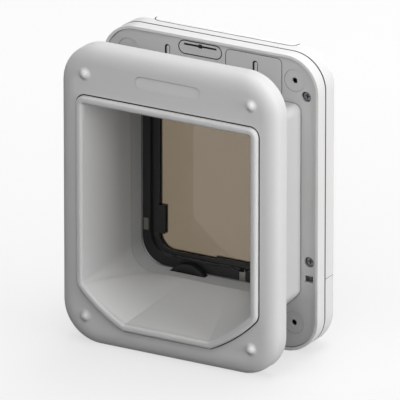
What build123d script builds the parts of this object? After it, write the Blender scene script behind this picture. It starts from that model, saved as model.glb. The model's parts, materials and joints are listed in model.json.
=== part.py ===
"""Electronic cat flap with a self-lining tunnel, as it stands before it is fitted to a door.

Outdoors is -Y and indoors is +Y, X runs across the flap and Z is up. The sketches use the
height above the middle of the outer frame and the depth behind its flat face, and three small
plane helpers carry them into the part's own frame, whose origin is the middle of its footprint.
"""
import os
from math import atan2, cos, degrees, radians, sin, sqrt

from build123d import *

os.makedirs("parts", exist_ok=True)

# Outer frame
frame_width = 200
frame_height = 254
frame_corner = 34
frame_depth = 16.5
frame_wall = 2.6
rim_round_in = 14
rim_round_back = 8
rim_flat = 5
name_recess_length = 60
name_recess_height = 10
name_recess_drop = 22.5
name_recess_deep = 1.0
name_recess_shallow = 0.1

# Fixing screws, which pull both frames together through the door
fixing_inset_x = 23.5
fixing_inset_z = 24
dome_radius = 6.2
dome_height = 4
fixing_boss_radius = 4.6
fixing_boss_end = 15
fixing_pilot_radius = 1.9
fixing_pilot_depth = 10

# Tunnel mouth, measured on the outside of the liner's lip
frame_side_border = 16.3
frame_top_border = 42
frame_bottom_border = 18
mouth_sill_half = 40
mouth_slope_start = 24.7
mouth_slope_radius = 130
mouth_side_corner = 10
mouth_top_corner = 8
lip_width = 6.4
lip_stands_out = 4
lip_seat_depth = 9
lip_edge_radius = 2.6
lip_gap = 0.5
seat_ledge = 2
seat_ledge_width = 4.1
collar_wall = 2

# Rear end of the flared liner, measured on its inside
throat_side_flare = 11.4
throat_top_flare = 7
throat_bottom_flare = 26.5
throat_sill_half = 20
throat_slope_start = 0.2
throat_slope_radius = 3000
throat_side_corner = 20
throat_top_corner = 8
liner_end = 66
liner_wall = 2
liner_end_wall = 1.2
guide_rib_thickness = 2
guide_rib_start = 11.5
guide_rib_end = 55
guide_rib_spread_x = 28
guide_rib_top_x = 45
guide_rib_spread_z = 50
sliding_gap = 0.3

# Indoor unit
unit_side_margin = 0.5
unit_top_margin = 3
unit_corner = 29.5
unit_front = 68
band_end = 79.5
seam_gap = 1
unit_back = 101
band_wall = 2.3
cover_wall = 2.2
cover_edge_radius = 10
tongue_wall = 1.5
tongue_length = 2.8
tongue_root = 2
tongue_gap = 0.4
plate_recess = 1.8
plate_thickness = 2.2
plate_gap = 0.3
plate_ledge_width = 3.2
plate_ledge_thickness = 1.5

# Sleeve on the door plate, which the liner slides in
sleeve_inset = 1
sleeve_wall = 2
sleeve_start = 22
sleeve_end = 83.5

# Features of the door plate
fixing_hole_radius = 2.5
fixing_ring_radius = 9.5
fixing_ring_depth = 0.6
upper_screw_inset = 12.1
upper_screw_drop = 33
lower_screw_inset = 8.9
lower_screw_rise = 78.2
screw_boss_radius = 5.5
screw_boss_length = 4.3
screw_recess_radius = 4.5
screw_recess_depth = 5
screw_head_radius = 3.7
screw_head_height = 2.4
screw_radius = 1.7
screw_length = 16
screw_cross_width = 0.9
screw_cross_length = 4.2
screw_hole_gap = 0.2
port_drop = 14.6
port_width = 7.4
port_height = 5.5
key_slot_x = 40.5
key_slot_drop = 10.5
key_slot_length = 20.5
key_slot_width = 5
pill_x = -10.1
pill_drop = 10
pill_length = 40
pill_height = 11.6
pill_gap = 0.35
pill_step = 0.9
slit_length = 30
slit_height = 1.7
slit_rise = 2.6
panel_left = 13
panel_right = 65.5
panel_drop = 4.4
panel_height = 32.6
panel_corner = 5
panel_groove = 0.8
panel_groove_depth = 0.5

# Flap surround and its black seal ring
surround_thickness = 2.5
surround_spread = 2
surround_gap = 0.3
surround_wall = 1.6
ring_front = 82.5
ring_thickness = 10
ring_side_inset = 0.8
ring_top_inset = 0.7
ring_bottom_inset = 0.8
ring_corner = 22
ring_fit = 0.2
ring_step = 2.3
ring_step_depth = 2
ring_edge_radius = 1

# Flap, hung from two pins
hinge_inset = 5.5
hinge_drop = 10.3
flap_side_inset = 8.1
flap_rise = 3.5
flap_bottom_inset = 9.1
flap_thickness = 7
flap_corner = 18
flap_top_corner = 4
flap_gap = 0.6
flap_sill_gap = 0.8
flap_top_gap = 2.1
window_side_inset = 6.4
window_top_drop = 10
window_bottom_inset = 4.1
window_corner = 13
window_thickness = 3
window_tuck = 2
window_fit = 0.05
flap_edge_radius = 1.2
pin_radius = 1.5
pin_clearance = 0.05
pin_reach_in = 9
pin_reach_out = 4.5
magnet_block_inset = 5.2
magnet_block_height = 24
magnet_block_rise = 17.1
magnet_length = 18
magnet_width = 5
magnet_thickness = 3
magnet_fit = 0.1
strike_width = 4.4
strike_height = 10.2
strike_thickness = 1.6
strike_inset = 3.5
strike_rise = 23.7
catch_block_left = -5.3
catch_block_right = 32
catch_block_rise = 1.6

# Latch in the sill
latch_x = 21.4
latch_width = 5.6
latch_gap = 0.4
latch_drop = 1.8
latch_blade_length = 7
latch_finger_height = 3
latch_front_finger = 1.1
latch_rear_finger = 1.3
latch_stem_inset = 5.2
latch_stem_thickness = 3
latch_stem_width = 3.2
latch_stem_rise = 14
solenoid_width = 14
solenoid_inset = 1.6
solenoid_depth = 10.6
solenoid_height = 24
solenoid_rise = 7
solenoid_bore_gap = 0.1
coil_window_height = 15
coil_window_proud = 0.5

# Lock wheel beside the latch, turned by the knob indoors
wheel_x = -26.1
wheel_drop = 22
wheel_radius = 20
wheel_front = 76.5
wheel_thickness = 5
wheel_gap = 0.6
wheel_flat = 7
wheel_hub_radius = 6
wheel_rib_radius = 16
wheel_recess = 1.2
lock_shaft_radius = 3
knob_radius = 8
knob_stands_out = 3
knob_base = 1.2
knob_grip_width = 4
knob_grip_inset = 1
knob_seat_radius = 4.5
spindle_gap = 0.3

# Tunnel through the indoor cover
cover_tunnel_gap = 0.5
cover_mouth_radius = 1.2
cover_tunnel_wall = 2.2
cover_split_rise = 62
cover_split_gap = 0.4
cover_post_radius = 4
thread_gap = 0.05
cover_post_gap = 0.2

# Battery compartment
lid_half_width = 66
lid_front = 89.2
lid_height = 37.5
lid_corner = 7
lid_gap = 0.35
lid_grip_length = 26
lid_grip_height = 7
lid_grip_depth = 0.8
lid_grip_drop = 29
cell_radius = 7.1
cell_length = 49.3
cell_nub_radius = 2.7
cell_nub_length = 1.2
cell_edge_radius = 0.8
cell_gap = 0.4
cell_row_pitch = 14.6
box_wall = 1.2
box_back = 80.8
box_depth = 12.4
box_seat_gap = 0.3
contact_thickness = 0.5
contact_height = 10
contact_width = 11
contact_gap = 0.05

# Control electronics
board_left = 33
board_right = 68
board_height = 27
board_rise = 9
board_front = 89.8
board_thickness = 1.6
board_post_radius = 3
board_hole_radius = 1.3
board_hole_inset = 4
switch_size = 6
switch_height = 3.6
chip_size = 10
chip_height = 1.6
button_x = 43
button_rise = 22
button_radius = 5
button_gap = 0.25
button_stands_out = 1.2
button_flange_radius = 6.2
button_flange_thickness = 1
button_travel = 0.8
button_rest_gap = 0.25
button_stem_radius = 2
button_stem_gap = 0.15
lens_x = 59
lens_radius = 2.5
lens_stands_out = 0.5
lens_fit = 0.1
lens_flange_radius = 3.5
lens_flange_thickness = 1
led_radius = 1.6
coil_gap = 0.3
coil_thickness = 2
coil_depth = 4
coil_front_gap = 0.2

# Places worked out from the sizes above
middle_z = frame_height / 2
mouth_half_width = frame_width / 2 - frame_side_border
mouth_top = frame_height / 2 - frame_top_border
mouth_bottom = frame_bottom_border - frame_height / 2
fixing_x = frame_width / 2 - fixing_inset_x
fixing_z = frame_height / 2 - fixing_inset_z
name_recess_z = frame_height / 2 - name_recess_drop
throat_half_width = mouth_half_width - throat_side_flare
throat_top = mouth_top - throat_top_flare
throat_bottom = mouth_bottom + throat_bottom_flare
unit_width = frame_width - 2 * unit_side_margin
unit_height = frame_height - unit_top_margin
unit_bottom = -middle_z
unit_top = unit_bottom + unit_height
upper_screw_x = unit_width / 2 - upper_screw_inset
upper_screw_z = unit_top - upper_screw_drop
lower_screw_x = unit_width / 2 - lower_screw_inset
lower_screw_z = unit_bottom + lower_screw_rise
port_x = lower_screw_x
port_z = lower_screw_z - port_drop
key_slot_top = unit_top - key_slot_drop
pill_z = unit_top - pill_drop
panel_top = unit_top - panel_drop
panel_bottom = panel_top - panel_height
ring_half_width = throat_half_width - ring_side_inset
ring_top = throat_top - ring_top_inset
ring_bottom = throat_bottom + ring_bottom_inset
hinge_z = ring_top - hinge_drop
flap_half_width = ring_half_width - flap_side_inset
flap_bottom = ring_bottom + flap_bottom_inset
window_half_width = flap_half_width - window_side_inset
window_top = hinge_z - window_top_drop
window_bottom = flap_bottom + window_bottom_inset
magnet_block_reach = window_half_width - magnet_block_inset
magnet_block_bottom = flap_bottom + magnet_block_rise
magnet_block_top = magnet_block_bottom + magnet_block_height
strike_x = ring_half_width - strike_inset
strike_z = flap_bottom + strike_rise
latch_top = flap_bottom - latch_drop
latch_blade_bottom = latch_top - latch_blade_length
latch_stem_bottom = unit_bottom + latch_stem_rise
solenoid_bottom = unit_bottom + solenoid_rise
solenoid_top = solenoid_bottom + solenoid_height
wheel_z = flap_bottom - wheel_drop
cover_split_z = unit_bottom + cover_split_rise
lid_bottom = unit_top - lid_height
lid_grip_z = unit_top - lid_grip_drop
board_bottom = unit_bottom + board_rise
board_top = board_bottom + board_height
button_z = unit_bottom + button_rise
overall_depth = lip_stands_out + unit_back + knob_stands_out
face_y = lip_stands_out - overall_depth / 2
plate_front = unit_front + plate_recess
plate_back = plate_front + plate_thickness
cover_front = band_end + seam_gap
surround_front = liner_end + surround_gap
surround_back = sleeve_end + surround_thickness
cover_inner_back = unit_back - cover_wall
ring_back = ring_front + ring_thickness
hinge_depth = ring_front + hinge_inset
flap_front = hinge_depth - flap_thickness / 2
flap_back = flap_front + flap_thickness
latch_front = flap_front - latch_gap - latch_front_finger
latch_back = flap_back + latch_gap + latch_rear_finger
latch_stem_front = latch_back - latch_stem_inset
stem_depth = latch_stem_front + latch_stem_thickness / 2
solenoid_front = latch_stem_front - solenoid_inset
SIDES = (("left", -1), ("right", 1))


def facing(depth):
    """Plane square to the tunnel, seen from outdoors; extrude(amount=-t) goes indoors."""
    return Plane(origin=(0, face_y + depth, middle_z), x_dir=(1, 0, 0), z_dir=(0, -1, 0))


def across(x):
    """Plane square to X; its own x is the depth and its own y is the height."""
    return Plane(origin=(x, face_y, middle_z), x_dir=(0, 1, 0), z_dir=(1, 0, 0))


def level(z):
    """Level plane; its own x is X and its own y is the depth."""
    return Plane(origin=(0, face_y, middle_z + z), x_dir=(1, 0, 0), z_dir=(0, 0, 1))


def tunnel_outline(half_width, top, bottom, sill_half, slope_start, slope_radius,
                   side_corner, top_corner, grow=0):
    """Tunnel section: flat sill, bowed slopes, upright sides and rounded top corners.

    The slope is one large arc that leaves the sill at slope_start degrees. A small arc takes it
    into the side. Growing the outline keeps every arc's centre, so two outlines lie parallel.
    """
    start = radians(slope_start)
    slope_x = sill_half - slope_radius * sin(start)
    slope_z = bottom + slope_radius * cos(start)
    corner_x = half_width - side_corner
    corner_z = slope_z - sqrt((slope_radius - side_corner) ** 2 - (corner_x - slope_x) ** 2)
    sill_z = bottom - grow
    reach = slope_radius + grow
    sill_x = slope_x + sqrt(reach ** 2 - (sill_z - slope_z) ** 2)
    turn = atan2(corner_z - slope_z, corner_x - slope_x)
    join = (slope_x + reach * cos(turn), slope_z + reach * sin(turn))
    sill_turn = atan2(sill_z - slope_z, sill_x - slope_x)
    half = (turn + sill_turn) / 2
    slope_mid = (slope_x + reach * cos(half), slope_z + reach * sin(half))
    small = side_corner + grow
    corner_mid = (corner_x + small * cos(turn / 2), corner_z + small * sin(turn / 2))
    side_x = half_width + grow
    top_z = top + grow
    round_x = half_width - top_corner
    round_z = top - top_corner
    bend = (top_corner + grow) * sin(radians(45))
    for side in (1, -1):
        Line((0, sill_z), (side * sill_x, sill_z))
        ThreePointArc((side * sill_x, sill_z), (side * slope_mid[0], slope_mid[1]),
                      (side * join[0], join[1]))
        ThreePointArc((side * join[0], join[1]), (side * corner_mid[0], corner_mid[1]),
                      (side * side_x, corner_z))
        Line((side * side_x, corner_z), (side * side_x, round_z))
        ThreePointArc((side * side_x, round_z), (side * (round_x + bend), round_z + bend),
                      (side * round_x, top_z))
        Line((side * round_x, top_z), (0, top_z))


def mouth(grow=0):
    """Section of the tunnel at the outer frame."""
    with BuildSketch(Plane.XY) as section:
        with BuildLine():
            tunnel_outline(mouth_half_width, mouth_top, mouth_bottom, mouth_sill_half,
                           mouth_slope_start, mouth_slope_radius, mouth_side_corner,
                           mouth_top_corner, grow)
        make_face()
    return section.sketch


def throat(grow=0):
    """Section of the tunnel at the rear end of the liner."""
    with BuildSketch(Plane.XY) as section:
        with BuildLine():
            tunnel_outline(throat_half_width, throat_top, throat_bottom, throat_sill_half,
                           throat_slope_start, throat_slope_radius, throat_side_corner,
                           throat_top_corner, grow)
        make_face()
    return section.sketch


def panel(half_width, bottom, top, low_corner, top_corner, grow=0):
    """Upright panel with lower and upper corners of two radii."""
    low = low_corner + grow
    high = top_corner + grow
    floor = bottom - grow
    roof = top + grow
    with BuildSketch(Plane.XY) as shape:
        with BuildLine():
            for side in (1, -1):
                edge = side * (half_width + grow)
                low_x = edge - side * low
                high_x = edge - side * high
                low_turn = low * (1 - sin(radians(45)))
                high_turn = high * (1 - sin(radians(45)))
                Line((0, floor), (low_x, floor))
                ThreePointArc((low_x, floor), (edge - side * low_turn, floor + low_turn),
                              (edge, floor + low))
                Line((edge, floor + low), (edge, roof - high))
                ThreePointArc((edge, roof - high), (edge - side * high_turn, roof - high_turn),
                              (high_x, roof))
                Line((high_x, roof), (0, roof))
        make_face()
    return shape.sketch


def unit_outline(grow=0):
    """Rounded outline of the indoor unit."""
    return panel(unit_width / 2, unit_bottom, unit_top, unit_corner,
                 unit_corner, grow)


def flap_outline(grow=0):
    """Outline of the flap."""
    return panel(flap_half_width, flap_bottom, hinge_z + flap_rise, flap_corner,
                 flap_top_corner, grow)


def window_outline(grow=0):
    """Outline of the clear part of the window."""
    return panel(window_half_width, window_bottom, window_top, window_corner, window_corner, grow)


def ring_outline(grow=0):
    """Outer outline of the seal ring."""
    return panel(ring_half_width, ring_bottom, ring_top, ring_corner, ring_corner / 2, grow)


def cover_tunnel_outline(grow=0):
    """Outline of the tunnel through the indoor cover, just clear of the seal ring."""
    return ring_outline(ring_step + cover_tunnel_gap + grow)


def screw_places():
    """Places of the four case screws."""
    return [(side * x, z) for side in (-1, 1)
            for x, z in ((upper_screw_x, upper_screw_z), (lower_screw_x, lower_screw_z))]


def fixing_places():
    """Places of the four fixing screws."""
    return [(side * fixing_x, rise * fixing_z) for side in (-1, 1) for rise in (-1, 1)]


def save(piece, name):
    """Label a finished piece and write it."""
    piece.part.label = name
    export_step(piece.part, f"parts/{name}.step")


# Outer frame: a hollow flange whose rim is one section carried round the rounded outline
rim_in = rim_round_in + rim_flat
with BuildPart() as outer_frame:
    with BuildLine(facing(frame_depth)) as rim_path:
        start_z = frame_height / 2 - frame_corner
        edge_x = frame_width / 2
        flat_x = frame_width / 2 - frame_corner
        Line((edge_x, 0), (edge_x, start_z))
        RadiusArc((edge_x, start_z), (flat_x, frame_height / 2), -frame_corner)
        Line((flat_x, frame_height / 2), (-flat_x, frame_height / 2))
        RadiusArc((-flat_x, frame_height / 2), (-edge_x, start_z), -frame_corner)
        Line((-edge_x, start_z), (-edge_x, -start_z))
        RadiusArc((-edge_x, -start_z), (-flat_x, -frame_height / 2), -frame_corner)
        Line((-flat_x, -frame_height / 2), (flat_x, -frame_height / 2))
        RadiusArc((flat_x, -frame_height / 2), (edge_x, -start_z), -frame_corner)
        Line((edge_x, -start_z), (edge_x, 0))
    with BuildSketch(level(0)):
        with BuildLine():
            outer = frame_width / 2
            inner = outer - frame_wall
            flat = outer - rim_round_in
            Line((outer, frame_depth), (outer, rim_round_back))
            EllipticalCenterArc((flat, rim_round_back), rim_round_in, rim_round_back, 270)
            Line((flat, 0), (outer - rim_in, 0))
            Line((outer - rim_in, 0), (outer - rim_in, frame_wall))
            Line((outer - rim_in, frame_wall), (flat, frame_wall))
            EllipticalCenterArc((flat, rim_round_back), rim_round_in - frame_wall,
                                rim_round_back - frame_wall, 270)
            Line((inner, rim_round_back), (inner, frame_depth))
            Line((inner, frame_depth), (outer, frame_depth))
        make_face()
    sweep(path=rim_path.wires()[0], transition=Transition.ROUND)
    with BuildSketch(facing(0)):
        RectangleRounded(frame_width - 2 * rim_in, frame_height - 2 * rim_in,
                         frame_corner - rim_in)
    extrude(amount=-frame_wall)
    with BuildSketch(facing(0)):
        add(mouth(lip_gap + collar_wall))
    extrude(amount=-(lip_seat_depth + seat_ledge))
    with BuildSketch(facing(0)):
        add(mouth(lip_gap))
    extrude(amount=-lip_seat_depth, mode=Mode.SUBTRACT)
    with BuildSketch(facing(lip_seat_depth)):
        add(mouth(lip_gap - seat_ledge_width))
    extrude(amount=-seat_ledge, mode=Mode.SUBTRACT)
    with BuildSketch(facing(frame_wall)):
        with Locations(fixing_places()):
            Circle(fixing_boss_radius)
    extrude(amount=-(fixing_boss_end - frame_wall))
    with BuildSketch(facing(fixing_boss_end)):
        with Locations(fixing_places()):
            Circle(fixing_pilot_radius)
    extrude(amount=fixing_pilot_depth, mode=Mode.SUBTRACT)
    for dome_x, dome_z in fixing_places():
        with BuildSketch(Plane(origin=(dome_x, face_y, middle_z + dome_z), x_dir=(1, 0, 0),
                               z_dir=(0, 0, 1))):
            with BuildLine():
                Line((0, 0), (0, -dome_height))
                crown = TangentArc((0, -dome_height), (dome_radius / 2, -dome_height / 2),
                                   tangent=(1, 0))
                TangentArc(crown @ 1, (dome_radius, 0), tangent=crown % 1)
                Line((dome_radius, 0), (0, 0))
            make_face()
        revolve(axis=Axis((dome_x, face_y, middle_z + dome_z), (0, 1, 0)))
    recess_tilt = degrees(atan2(name_recess_deep - name_recess_shallow, name_recess_height))
    recess_mid = (name_recess_deep + name_recess_shallow) / 2
    recess_floor = Plane(origin=(0, face_y + recess_mid, middle_z + name_recess_z),
                         x_dir=(1, 0, 0),
                         z_dir=(0, -cos(radians(recess_tilt)), sin(radians(recess_tilt))))
    with BuildSketch(recess_floor):
        SlotOverall(name_recess_length, name_recess_height)
    extrude(amount=2 * name_recess_deep, mode=Mode.SUBTRACT)
save(outer_frame, "outer_frame")

# Tunnel liner: a rounded lip, a flared tunnel and the ribs that guide it in the sleeve
with BuildPart() as tunnel_liner:
    with BuildSketch(facing(-lip_stands_out)):
        add(mouth())
        add(mouth(-lip_width), mode=Mode.SUBTRACT)
    extrude(amount=-(lip_stands_out + lip_seat_depth))
    fillet(tunnel_liner.faces().sort_by(Axis.Y)[0].edges(), radius=lip_edge_radius)
    with BuildSketch(facing(lip_seat_depth)):
        add(mouth(liner_wall - lip_width))
    with BuildSketch(facing(liner_end)):
        add(throat(liner_end_wall))
    loft(ruled=True)
    sleeve_inner = -(sleeve_inset + sleeve_wall + sliding_gap)
    rib_outer_x = mouth_half_width + sleeve_inner
    rib_top_z = mouth_top + sleeve_inner
    rib_bottom_z = mouth_bottom - sleeve_inner
    rib_length = guide_rib_end - guide_rib_start
    with BuildSketch(facing(guide_rib_start)):
        with Locations((0, guide_rib_spread_z), (0, -guide_rib_spread_z)):
            Rectangle(2 * rib_outer_x, guide_rib_thickness)
        for rib_x in (-guide_rib_top_x, guide_rib_top_x):
            with Locations((rib_x, rib_top_z / 2)):
                Rectangle(guide_rib_thickness, rib_top_z)
        for rib_x in (-guide_rib_spread_x, guide_rib_spread_x):
            with Locations((rib_x, rib_bottom_z / 2)):
                Rectangle(guide_rib_thickness, -rib_bottom_z)
    extrude(amount=-rib_length)
    with BuildSketch(facing(0)):
        add(mouth(-lip_width))
    with BuildSketch(facing(liner_end)):
        add(throat())
    loft(ruled=True, mode=Mode.SUBTRACT)
save(tunnel_liner, "tunnel_liner")

# Door plate: the grey wall that lies against the door, with the sleeve for the liner
with BuildPart() as door_plate:
    with BuildSketch(facing(plate_front)):
        add(unit_outline(-band_wall - plate_gap))
    extrude(amount=-plate_thickness)
    with BuildSketch(facing(sleeve_start)):
        add(mouth(-sleeve_inset))
    extrude(amount=-(sleeve_end - sleeve_start))
    with BuildSketch(facing(sleeve_start)):
        add(mouth(-sleeve_inset - sleeve_wall))
    extrude(amount=-(sleeve_end - sleeve_start), mode=Mode.SUBTRACT)
    with BuildSketch(facing(plate_back)):
        with Locations(screw_places()):
            Circle(screw_boss_radius)
    extrude(amount=-screw_boss_length)
    with BuildSketch(facing(plate_front)):
        with Locations(screw_places()):
            Circle(screw_recess_radius)
    extrude(amount=-screw_recess_depth, mode=Mode.SUBTRACT)
    with BuildSketch(facing(plate_front)):
        with Locations(screw_places()):
            Circle(screw_radius + screw_hole_gap)
        with Locations(fixing_places()):
            Circle(fixing_hole_radius)
        with Locations((port_x, port_z)):
            Rectangle(port_width, port_height)
        with Locations([(side * key_slot_x, key_slot_top - key_slot_length / 2) for side in (-1, 1)]):
            SlotOverall(key_slot_length, key_slot_width, rotation=90)
        with Locations((pill_x, pill_z)):
            SlotOverall(pill_length, pill_height)
    extrude(amount=-(plate_thickness + screw_boss_length), mode=Mode.SUBTRACT)
    with BuildSketch(facing(plate_front)):
        with Locations(fixing_places()):
            Circle(fixing_ring_radius)
    extrude(amount=-fixing_ring_depth, mode=Mode.SUBTRACT)
    panel_middle = ((panel_left + panel_right) / 2, (panel_top + panel_bottom) / 2)
    with BuildSketch(facing(plate_front)):
        with Locations(panel_middle):
            RectangleRounded(panel_right - panel_left, panel_top - panel_bottom, panel_corner)
            RectangleRounded(panel_right - panel_left - 2 * panel_groove,
                             panel_top - panel_bottom - 2 * panel_groove,
                             panel_corner - panel_groove, mode=Mode.SUBTRACT)
    extrude(amount=-panel_groove_depth, mode=Mode.SUBTRACT)
    with BuildSketch(facing(wheel_front - wheel_gap)):
        with Locations((wheel_x, wheel_z)):
            Circle(wheel_radius + wheel_gap)
    extrude(amount=-(wheel_thickness + 2 * wheel_gap), mode=Mode.SUBTRACT)
save(door_plate, "door_plate")

# Insert in the pill-shaped opening near the top of the plate, with one long slit
with BuildPart() as vent_insert:
    with BuildSketch(facing(plate_front)):
        with Locations((pill_x, pill_z)):
            SlotOverall(pill_length - 2 * pill_gap, pill_height - 2 * pill_gap)
    extrude(amount=-plate_thickness)
    with BuildSketch(facing(plate_back)):
        with Locations((pill_x, pill_z)):
            SlotOverall(pill_length + 2 * pill_step, pill_height + 2 * pill_step)
    extrude(amount=-pill_step)
    with BuildSketch(facing(plate_front)):
        with Locations((pill_x, pill_z + slit_rise)):
            Rectangle(slit_length, slit_height)
            Rectangle(2 * slit_height, 2 * slit_height)
    extrude(amount=-(plate_thickness + pill_step), mode=Mode.SUBTRACT)
save(vent_insert, "vent_insert")

# White band round the door plate, with a ledge that the plate is seated on
with BuildPart() as housing_band:
    with BuildSketch(facing(unit_front)):
        add(unit_outline())
        add(unit_outline(-band_wall), mode=Mode.SUBTRACT)
    extrude(amount=-(band_end - unit_front))
    with BuildSketch(facing(plate_back)):
        add(unit_outline(-band_wall / 2))
        add(unit_outline(-band_wall - plate_ledge_width), mode=Mode.SUBTRACT)
    extrude(amount=-plate_ledge_thickness)
    with BuildSketch(facing(plate_back)):
        with Locations(screw_places()):
            Circle(screw_boss_radius + plate_gap)
        with Locations((pill_x, pill_z)):
            SlotOverall(pill_length + 4 * pill_step, pill_height + 4 * pill_step)
    extrude(amount=-plate_ledge_thickness, mode=Mode.SUBTRACT)
save(housing_band, "housing_band")

# Four case screws, sunk in the plate's bosses
with BuildPart() as case_screws:
    head_front = plate_front + screw_recess_depth - screw_head_height
    with BuildSketch(facing(head_front)):
        with Locations(screw_places()):
            Circle(screw_head_radius)
    extrude(amount=-screw_head_height)
    with BuildSketch(facing(head_front)):
        with Locations(screw_places()):
            Circle(screw_radius)
    extrude(amount=-(screw_head_height + screw_length))
    with BuildSketch(facing(head_front)):
        with Locations(screw_places()):
            Rectangle(screw_cross_length, screw_cross_width)
            Rectangle(screw_cross_width, screw_cross_length)
    extrude(amount=-screw_head_height / 2, mode=Mode.SUBTRACT)
save(case_screws, "case_screws")

# Flap surround: a light grey wall behind the liner that carries the seal ring
with BuildPart() as flap_surround:
    with BuildSketch(facing(sleeve_end)):
        add(mouth(surround_spread))
    extrude(amount=-surround_thickness)
    with BuildSketch(facing(surround_front)):
        add(throat(surround_wall))
    extrude(amount=-(surround_back - surround_front))
    with BuildSketch(facing(surround_front)):
        add(throat())
    extrude(amount=-(sleeve_end - surround_front), mode=Mode.SUBTRACT)
    with BuildSketch(facing(sleeve_end)):
        add(ring_outline(ring_fit))
        with Locations((wheel_x, wheel_z)):
            Circle(lock_shaft_radius + pin_clearance)
    extrude(amount=-surround_thickness, mode=Mode.SUBTRACT)
    with BuildSketch(facing(wheel_front - wheel_gap)):
        with Locations((wheel_x, wheel_z)):
            Circle(wheel_radius + wheel_gap)
    extrude(amount=-(wheel_thickness + 2 * wheel_gap), mode=Mode.SUBTRACT)
save(flap_surround, "flap_surround")

# Black seal ring that the flap closes into, with its hinge sockets and side magnets' pockets
with BuildPart() as seal_ring:
    with BuildSketch(facing(ring_front)):
        add(ring_outline())
    extrude(amount=-(ring_back - ring_front))
    fillet(seal_ring.faces().sort_by(Axis.Y)[0].edges(), radius=ring_edge_radius)
    with BuildSketch(facing(surround_back)):
        add(ring_outline(ring_step))
    extrude(amount=-ring_step_depth)
    with BuildSketch(facing(ring_front)):
        add(panel(flap_half_width + flap_gap, flap_bottom - flap_sill_gap,
                  hinge_z + flap_rise + flap_top_gap, flap_corner + flap_gap,
                  flap_top_corner))
    extrude(amount=-(ring_back - ring_front), mode=Mode.SUBTRACT)
    with BuildSketch(across(0)):
        with Locations((hinge_depth, hinge_z)):
            Circle(pin_radius + pin_clearance)
    extrude(amount=flap_half_width + pin_reach_out + pin_clearance, both=True,
            mode=Mode.SUBTRACT)
    with BuildSketch(facing(ring_front)):
        with Locations([(side * strike_x, strike_z) for side in (-1, 1)]):
            Rectangle(strike_width + 2 * magnet_fit, strike_height + 2 * magnet_fit)
    extrude(amount=-strike_thickness, mode=Mode.SUBTRACT)
    latch_slot = latch_width + 2 * latch_gap
    with BuildSketch(level(flap_bottom)):
        with Locations((latch_x, (ring_front + ring_back) / 2)):
            Rectangle(latch_slot, 2 * (ring_back - ring_front))
    extrude(amount=ring_bottom - ring_step - flap_bottom - 1, mode=Mode.SUBTRACT)
save(seal_ring, "seal_ring")

# Flap frame: a moulded rim with a groove for the window and blocks for its magnets
block_mid_z = (magnet_block_top + magnet_block_bottom) / 2
magnet_x = (magnet_block_reach + flap_half_width) / 2 - 1
with BuildPart() as flap_frame:
    with BuildSketch(facing(flap_front)):
        add(flap_outline())
        add(window_outline(), mode=Mode.SUBTRACT)
        for side in (-1, 1):
            with Locations((side * (magnet_block_reach + window_half_width + 1) / 2,
                            block_mid_z)):
                Rectangle(window_half_width + 1 - magnet_block_reach, magnet_block_height)
        catch_width = catch_block_right - catch_block_left
        with Locations(((catch_block_left + catch_block_right) / 2, window_bottom)):
            Rectangle(catch_width, 2 * catch_block_rise)
    extrude(amount=-flap_thickness)
    outer_edges = flap_frame.faces().sort_by(Axis.Y)[0].outer_wire().edges()
    rear_edges = flap_frame.faces().sort_by(Axis.Y)[-1].outer_wire().edges()
    chamfer(outer_edges + rear_edges, length=flap_edge_radius)
    with BuildSketch(facing(hinge_depth - window_thickness / 2 - window_fit)):
        add(window_outline(window_tuck + window_fit))
    extrude(amount=-(window_thickness + 2 * window_fit), mode=Mode.SUBTRACT)
    with BuildSketch(across(0)):
        with Locations((hinge_depth, hinge_z)):
            Circle(pin_radius)
    extrude(amount=flap_half_width, both=True, mode=Mode.SUBTRACT)
    with BuildSketch(across(0)):
        with Locations((hinge_depth, hinge_z)):
            Circle(pin_radius)
    extrude(amount=flap_half_width - pin_reach_in, both=True)
    with BuildSketch(facing(flap_back)):
        with Locations([(side * magnet_x, block_mid_z) for side in (-1, 1)]):
            Rectangle(magnet_width + 2 * magnet_fit, magnet_length + 2 * magnet_fit)
    extrude(amount=magnet_thickness / 2, mode=Mode.SUBTRACT)
save(flap_frame, "flap_frame")

# Smoked window, tucked into the groove of the flap frame
with BuildPart() as flap_window:
    with BuildSketch(facing(hinge_depth - window_thickness / 2)):
        add(window_outline(window_tuck))
    extrude(amount=-window_thickness)
save(flap_window, "flap_window")

for side_name, side in SIDES:
    # Hinge pin, pressed into the flap frame and free to turn in the seal ring
    with BuildPart() as hinge_pin:
        with BuildSketch(across(side * (flap_half_width - pin_reach_in))):
            with Locations((hinge_depth, hinge_z)):
                Circle(pin_radius)
        extrude(amount=side * (pin_reach_in + pin_reach_out))
    save(hinge_pin, f"hinge_pin_{side_name}")

    # Magnet in the flap's side block, which holds the flap shut
    with BuildPart() as flap_magnet:
        with BuildSketch(facing(flap_back)):
            with Locations((side * magnet_x, block_mid_z)):
                Rectangle(magnet_width, magnet_length)
        extrude(amount=magnet_thickness / 2)
    save(flap_magnet, f"flap_magnet_{side_name}")

    # Steel strike in the face of the seal ring, beside the flap's magnet
    with BuildPart() as strike_plate:
        with BuildSketch(facing(ring_front)):
            with Locations((side * strike_x, strike_z)):
                Rectangle(strike_width, strike_height)
        extrude(amount=-strike_thickness)
    save(strike_plate, f"strike_plate_{side_name}")

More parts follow.
